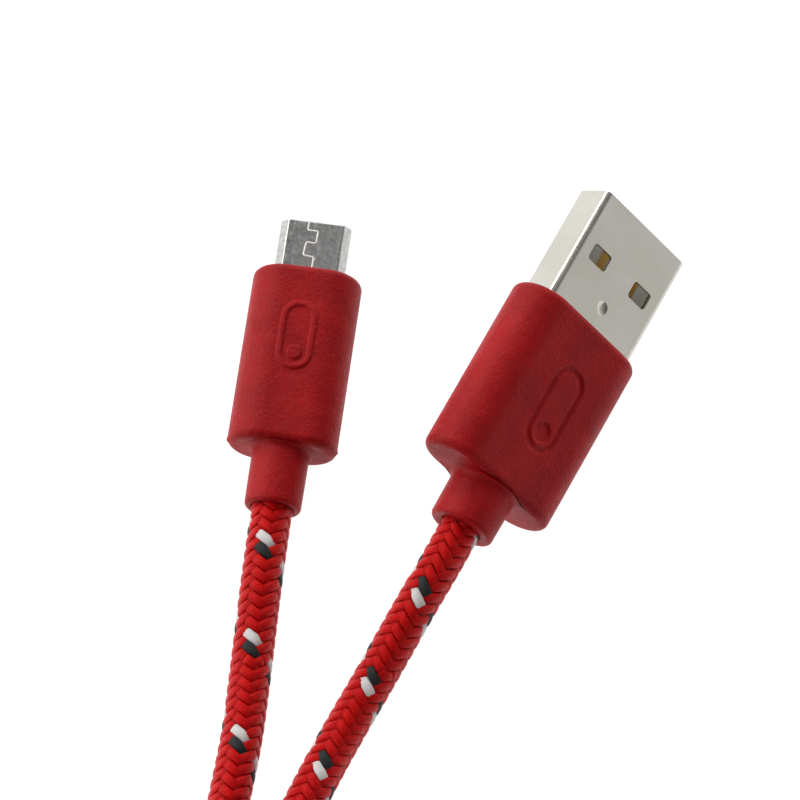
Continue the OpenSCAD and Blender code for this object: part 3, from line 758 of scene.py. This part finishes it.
# the moulding is one closed surface: its outline is carried from the nose back over the body and the strain
# relief, in at the cord's mouth, and forward again inside to the shell's opening
def mouldPiece(name, m):
    top, side = m["flatPoints"], m["sidePoints"]
    half = (m["width"] - m["thick"]) / 2
    big, edge, back = m["thick"] / 2, m["edge"], -m["length"]
    quarter = np.linspace(0.0, np.pi / 2, 9)
    sections, ys = [], []

    def add(section, y):
        sections.append(section)
        ys.append(np.full(len(section), y))

    for q in quarter:
        add(stadium(half, big - edge + edge * math.sin(q), top, side), -edge + edge * math.cos(q))
    rows = int((m["length"] - 2 * edge) / 0.1)
    for y in np.linspace(-edge, back + edge, rows)[1:-1]:
        add(stadium(half, big, top, side), y)
    for q in quarter[::-1]:
        add(stadium(half, big - edge + edge * math.sin(q), top, side), back + edge - edge * math.cos(q))
    # the rear face runs in to the strain relief with a small fillet
    fillet = 0.5
    for q in np.linspace(0.0, np.pi / 2, 6):
        r = m["reliefRadius"] + fillet * (1 - math.sin(q))
        add(roundSection(r, top, side), back - fillet * (1 - math.cos(q)))
    end = back - m["reliefLength"]
    lip = 0.4
    taper = 0.02
    for y in np.linspace(back - fillet, end + lip, 16)[1:]:
        narrower = 1.0 - taper * (back - y) / m["reliefLength"]
        add(roundSection(m["reliefRadius"] * narrower, top, side), y)
    lipRadius = m["reliefRadius"] * (1.0 - taper)
    for q in np.linspace(0.0, np.pi / 2, 6)[1:]:
        add(roundSection(lipRadius - lip * (1 - math.cos(q)), top, side), end + lip * (1 - math.sin(q)))
    hole = cordSetup["diameter"] / 2 - 0.02
    add(roundSection(hole + 0.15, top, side), end)
    add(roundSection(hole, top, side), end + 0.15)
    add(roundSection(hole, top, side), m["cavityBack"])
    # inside, the space for the inner mould and then the opening that holds the shell
    w, t = m["cavity"][0] / 2, m["cavity"][1] / 2
    box = sectionFrom([(w - 0.3, t), (w, t - 0.3), (w, -t + 0.3), (w - 0.3, -t)], top, side)
    nose = sectionFrom(m["nose"], top, side)
    add(box, m["cavityBack"])
    add(box, m["cavityFront"])
    add(nose, m["cavityFront"])
    add(nose, -0.12)
    add(nose * 1.015, 0.0)
    flat = np.stack(sections)
    y = np.stack(ys)
    x, z = flat[..., 0].copy(), flat[..., 1].copy()
    outer = np.zeros(x.shape, bool)
    outer[: len(quarter) * 2 + rows - 2] = True
    # the raised or sunk mark lives on the upper flat
    onTop = outer & (z > big - 1e-6) & (np.abs(x) < half + 0.02)
    rise = m["markHeight"] * ease(0.5 - markDistance(x, y, m) / 0.2)
    z = z + np.where(onTop, rise, 0.0)
    # parting line, a little flash that grows at the rear corners
    ridge = 0.022 + 0.10 * np.exp(-((y - back - 0.45) / 0.3) ** 2)
    ridge = ridge * np.exp(-(z / 0.07) ** 2) * (outer & (np.abs(x) > half))
    ridge = ridge * ease((-y - 0.15) / 0.5) * ease((y - back - 0.1) / 0.2)
    x = x + np.sign(x) * ridge
    points = laid(np.stack([x, y, z], axis=-1), m["place"])
    faces = gridFaces(len(sections), flat.shape[1], True, True)
    return buildMesh(name, points.reshape(-1, 3), faces, materials=(mouldRed,))


usbBody = mouldPiece("usbMoulding", usbMould)
microBody = mouldPiece("microMoulding", microMould)
print("mouldings made")


def edgedCopy(node, name, width, finish):
    # the frame's own surface, welded, its flats made whole, and its cut edges rounded over; a fold between
    # the two angles, in degrees, stays a crease in the shading
    crease, cut = 15, 50
    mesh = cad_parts[node].data.copy()
    shape = bmesh.new()
    shape.from_mesh(mesh)
    bmesh.ops.remove_doubles(shape, verts=shape.verts, dist=2e-7)
    bmesh.ops.dissolve_limit(shape, angle_limit=math.radians(2.5), verts=shape.verts, edges=shape.edges)
    for e in shape.edges:
        e.smooth = not crease < math.degrees(e.calc_face_angle(0.0)) < cut
    sharp = [e for e in shape.edges if e.calc_face_angle(0.0) > math.radians(cut)]
    bmesh.ops.bevel(shape, geom=sharp, offset=width * mm, segments=3, profile=0.5, affect="EDGES",
                    clamp_overlap=True)
    bmesh.ops.recalc_face_normals(shape, faces=shape.faces)
    shape.to_mesh(mesh)
    shape.free()
    mesh.name = name
    mesh.materials.clear()
    mesh.materials.append(finish)
    mesh.polygons.foreach_set("use_smooth", np.ones(len(mesh.polygons), bool))
    obj = bpy.data.objects.new(name, mesh)
    bpy.context.collection.objects.link(obj)
    even = obj.modifiers.new("evenShading", "WEIGHTED_NORMAL")
    even.weight = 100
    even.keep_sharp = True
    return obj


usbShell = edgedCopy("usb_a_shell", "usbShell", 0.09, nickelPlate)

microShellSetup = {
    "sheet": 0.25, "front": 5.6, "back": -6.0,
    # the outline's right half, corner by corner from the narrow face down, each with its bend radius
    "corners": [(2.7, 0.9, 0.32), (3.425, 0.05, 0.30), (3.425, -0.9, 0.42)],
    "slotAcross": (2.15, 2.95), "slotAlong": (2.35, 4.3),
    "arcPoints": 9, "flatPoints": 6,  # points on every fold and on every flat between two folds
}


def foldedOutline(setup, inset):
    # the folded sheet's section, moved inward by inset: flats joined by arcs
    right = setup["corners"]
    ring = [(x, z) for x, z, r in right] + [(-x, z) for x, z, r in reversed(right)]
    radii = [r for x, z, r in right] + [r for x, z, r in reversed(right)]
    ring = np.array(ring)
    ahead = unit(np.roll(ring, -1, axis=0) - ring)
    inward = np.stack([ahead[:, 1], -ahead[:, 0]], axis=-1)  # the ring runs clockwise seen from the nose
    behindIn = np.roll(inward, 1, axis=0)
    behindDir = np.roll(ahead, 1, axis=0)
    # each corner moves to where its two edges meet again
    cosine = np.sum(inward * behindIn, axis=1, keepdims=True)
    moved = ring + inset * (inward + behindIn) / (1.0 + cosine)
    pieces = []
    for k in range(6):
        r = max(radii[k] - inset, 0.05)
        turn = math.acos(float(np.clip(cosine[k, 0], -1, 1)))
        reach = r * math.tan(turn / 2)
        middle = moved[k] - behindDir[k] * reach + behindIn[k] * r
        a = np.linspace(0.0, turn, setup["arcPoints"])[:, None]
        pieces.append(middle - behindIn[k] * r * np.cos(a) + behindDir[k] * r * np.sin(a))
        start = pieces[-1][-1]
        if k == 2:
            # the wide face has points where its slots begin and end
            near, far = setup["slotAcross"]
            rightX = np.array([far, (near + far) / 2, near, 1.3, 0.4])
            lowX = np.concatenate([rightX, -rightX[::-1]])
            pieces.append(np.stack([lowX, np.full(10, moved[2][1])], axis=-1))
        else:
            r2 = max(radii[(k + 1) % 6] - inset, 0.05)
            nextTurn = math.acos(float(np.clip(cosine[(k + 1) % 6, 0], -1, 1)))
            end = moved[(k + 1) % 6] - ahead[k] * r2 * math.tan(nextTurn / 2)
            u = np.linspace(0.0, 1.0, setup["flatPoints"] + 2)[1:-1, None]
            pieces.append(start + (end - start) * u)
    return np.vstack(pieces)


# the sheet is one closed surface: the outer outline carried forward, round the front edge and back as the
# inner outline, with walls where the slots go through
def foldedShell(name, setup, place, finish):
    sheet = setup["sheet"]
    lowSlot, highSlot = setup["slotAlong"]
    ys = np.concatenate([np.linspace(setup["back"], lowSlot, 24), np.linspace(lowSlot, highSlot, 7)[1:],
                         np.linspace(highSlot, setup["front"] - sheet / 2, 6)[1:]])
    outer, inner = foldedOutline(setup, 0.0), foldedOutline(setup, sheet)
    rows = [(outer, y) for y in ys]
    for a in np.linspace(0.0, np.pi, 9)[1:-1]:
        # half round the front edge of the sheet
        rows.append((foldedOutline(setup, sheet / 2 * (1 - math.cos(a))),
                     setup["front"] - sheet / 2 * (1 - math.sin(a))))
    rows += [(inner, y) for y in ys[::-1]]
    xz = np.stack([r[0] for r in rows])
    y = np.stack([np.full(len(outer), r[1]) for r in rows])
    points = laid(np.stack([xz[..., 0], y, xz[..., 1]], axis=-1), place)
    count, around = xz.shape[:2]
    quads = gridFaces(count, around, True, True).reshape(count, around, 4)
    keep = np.ones((count, around), bool)
    firstRow = int(np.argmin(np.abs(ys - lowSlot)))
    lastRow = int(np.argmin(np.abs(ys - highSlot)))
    walls = []
    # the wide face's points begin after three folds and two flats
    lowStart = setup["arcPoints"] * 3 + setup["flatPoints"] * 2
    for a, b in ((0, 2), (7, 9)):
        c0, c1 = lowStart + a, lowStart + b
        keep[firstRow:lastRow, c0:c1] = False
        keep[count - 1 - lastRow:count - 1 - firstRow, c0:c1] = False
        loop = [(r, c0) for r in range(firstRow, lastRow)] + [(lastRow, c) for c in range(c0, c1)]
        loop += [(r, c1) for r in range(lastRow, firstRow, -1)] + [(firstRow, c) for c in range(c1, c0, -1)]
        loop = np.array(loop)
        out = loop[:, 0] * around + loop[:, 1]
        into = (count - 1 - loop[:, 0]) * around + loop[:, 1]
        walls.append(np.stack([out, np.roll(out, -1), np.roll(into, -1), into], axis=-1))
    faces = np.vstack([quads[keep]] + walls)
    return facedOut(buildMesh(name, points.reshape(-1, 3), faces, materials=(finish,)))


def facedOut(obj):
    shape = bmesh.new()
    shape.from_mesh(obj.data)
    bmesh.ops.recalc_face_normals(shape, faces=shape.faces)
    shape.to_mesh(obj.data)
    shape.free()
    return obj


microShell = foldedShell("microShell", microShellSetup, microPlace, stainlessSheet)

# the seam's two cut edges are rolled over; the bead along them is painted near-white, a painted highlight
# that shows as one bright line
seamSetup = {
    "line": [(-0.66, 5.58), (-0.72, 4.75), (-0.60, 4.60), (0.20, 4.60), (0.31, 4.48), (0.27, 3.42),
             (0.16, 3.30), (-0.56, 3.34), (-0.68, 3.22), (-0.78, 2.05), (-0.66, 1.92), (0.14, 1.86),
             (0.26, 1.74), (0.20, 0.0)],
    "width": 0.17,
    "rise": 0.05,
    "top": 0.9,
}


def seamPiece(setup):
    # a low rounded bead swept along the seam
    n = 240
    flat = spacedAlong(setup["line"], n)
    kernel = np.ones(5) / 5.0
    flat[2:-2] = np.stack([np.convolve(flat[:, k], kernel, mode="valid") for k in range(2)], axis=-1)
    run = unit(np.gradient(flat, axis=0))
    across = np.stack([-run[:, 1], run[:, 0]], axis=-1)
    v = np.linspace(0, 2 * np.pi, 12, endpoint=False)
    wide = np.cos(v) * setup["width"] / 2
    high = np.sin(v) * setup["rise"]
    xy = flat[:, None, :] + across[:, None, :] * wide[None, :, None]
    z = np.broadcast_to(setup["top"] + high, (n, 12))
    points = laid(np.stack([xy[..., 0], xy[..., 1], z], axis=-1), microPlace)
    ends = points[[0, -1]].mean(axis=1)
    ring = np.arange(12)
    tris = np.vstack([capFaces(ring, n * 12), capFaces(ring + (n - 1) * 12, n * 12 + 1, True)])
    return buildMesh("microSeam", np.vstack([points.reshape(-1, 3), ends]),
                     gridFaces(n, 12, False, True, flip=True), tris, materials=(seamPaintedHighlight,))


microSeam = seamPiece(seamSetup)
print("shells made")

# the metal and plastic pieces whose shape is the CAD's only get a finish
finishes = {
    "usb_a_insulator": paleCarrier, "micro_b_insulator": blackCarrier,
    "usb_a_inner_mould": hotMelt, "micro_b_inner_mould": hotMelt,
    "usb_a_solder": solderTin, "micro_b_solder": solderTin,
    "usb_a_cord_end": jacketRed, "micro_b_cord_end": jacketRed,
    "micro_b_latch_left": springSteel, "micro_b_latch_right": springSteel,
}
for node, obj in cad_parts.items():
    finish = finishes.get(node)
    if "_wire_" in node:
        finish = wireSkin[node.split("_")[-1]]
    if "contact" in node:
        finish = goldFlash
    if finish:
        for slotNumber in range(len(obj.material_slots)):
            obj.material_slots[slotNumber].material = finish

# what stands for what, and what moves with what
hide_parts("usb_a_moulding")
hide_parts("micro_b_moulding")
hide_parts("coil_strap")
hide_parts("cord_coil", "cord_usb_a_side", "cord_micro_b_side")
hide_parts("usb_a_shell")
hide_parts("micro_b_shell")
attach(usbShell, "usb_a_plug")
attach(microShell, "micro_b_plug")
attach(microSeam, "micro_b_plug")
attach(usbBody, "usb_a_plug")
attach(microBody, "micro_b_plug")
for piece in [cordCore, usbBraid, microBraid, strap] + coilBraid:
    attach(piece, "cord")
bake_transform(usbStub)
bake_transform(microStub)


# a glowing table top, so that nothing on it throws a shadow
floorSetup = {
    "reach": 4000.0, "points": 24, "dark": (0.24, 0.24, 0.24), "light": (0.27, 0.27, 0.27), "glow": 0.96}


def makeFloor(setup):
    n = setup["points"]
    u = np.linspace(-setup["reach"], setup["reach"], n)
    x, y = np.meshgrid(u, u, indexing="ij")
    points = np.stack([x, y, np.zeros_like(x)], axis=-1).reshape(-1, 3)
    mat, tree, shader = newMaterial("paleFloor")
    grain = noise(tree, -800, 100, objectCoords(tree), 40.0, 3.0)
    colour = mixColour(tree, -400, 100, grain, setup["dark"], setup["light"])
    tree.links.new(colour, shader.inputs["Base Color"])
    shader.inputs["Roughness"].default_value = 0.7
    shader.inputs["Specular IOR Level"].default_value = 0.2
    shader.inputs["Emission Color"].default_value = (1.0, 1.0, 1.0, 1.0)
    shader.inputs["Emission Strength"].default_value = setup["glow"]
    buildMesh("floor", points, gridFaces(n, n, False, False, flip=True), materials=(mat,))


makeFloor(floorSetup)

# soft lights, in metres and watts, all turned to the middle of the table
softboxes = {
    "leftSoftbox": {"place": (-0.55, 0.05, 0.24), "size": (0.45, 0.36), "power": 1.5},
    "rearLeftSoftbox": {"place": (-0.36, 0.42, 0.40), "size": (0.34, 0.40), "power": 1.5},
    "rearSoftbox": {"place": (0.10, 0.60, 0.45), "size": (0.7, 0.4), "power": 2.2},
    "topSoftbox": {"place": (0.05, 0.05, 0.80), "size": (0.6, 0.6), "power": 0.4},
}


def areaLight(name, setup):
    data = bpy.data.lights.new(name, "AREA")
    data.shape = "RECTANGLE"
    data.size, data.size_y = setup["size"]
    data.energy = setup["power"]
    lamp = bpy.data.objects.new(name, data)
    bpy.context.collection.objects.link(lamp)
    lamp.location = setup["place"]
    lamp.rotation_euler = (-Vector(setup["place"])).to_track_quat("-Z", "Y").to_euler()


for name, setup in softboxes.items():
    areaLight(name, setup)

# bright all round the table and darker overhead, like a light tent with an open top, and weaker in front
skySetup = {"round": (1.0, 1.0, 1.0), "overhead": (0.08, 0.082, 0.085), "front": 0.14, "rear": 0.78}


def makeSky(setup):
    world = bpy.data.worlds.new("studio")
    bpy.context.scene.world = world
    world.use_nodes = True
    sky = world.node_tree
    background = sky.nodes["Background"].inputs
    coords = addNode(sky, "ShaderNodeTexCoord", -900, 0)
    parts = addNode(sky, "ShaderNodeSeparateXYZ", -700, 0)
    feed(sky, parts.inputs["Vector"], coords.outputs["Generated"])
    height = spread(sky, -500, 0, parts.outputs["Z"], 0.15, 0.9, 0.0, 1.0)
    sky.links.new(mixColour(sky, -250, 0, height, setup["round"], setup["overhead"]), background["Color"])
    sky.links.new(spread(sky, -250, -250, parts.outputs["Y"], -0.95, -0.2, setup["front"], setup["rear"]),
                  background["Strength"])


makeSky(skySetup)
bpy.context.scene.view_settings.view_transform = "Standard"
print("lights set")
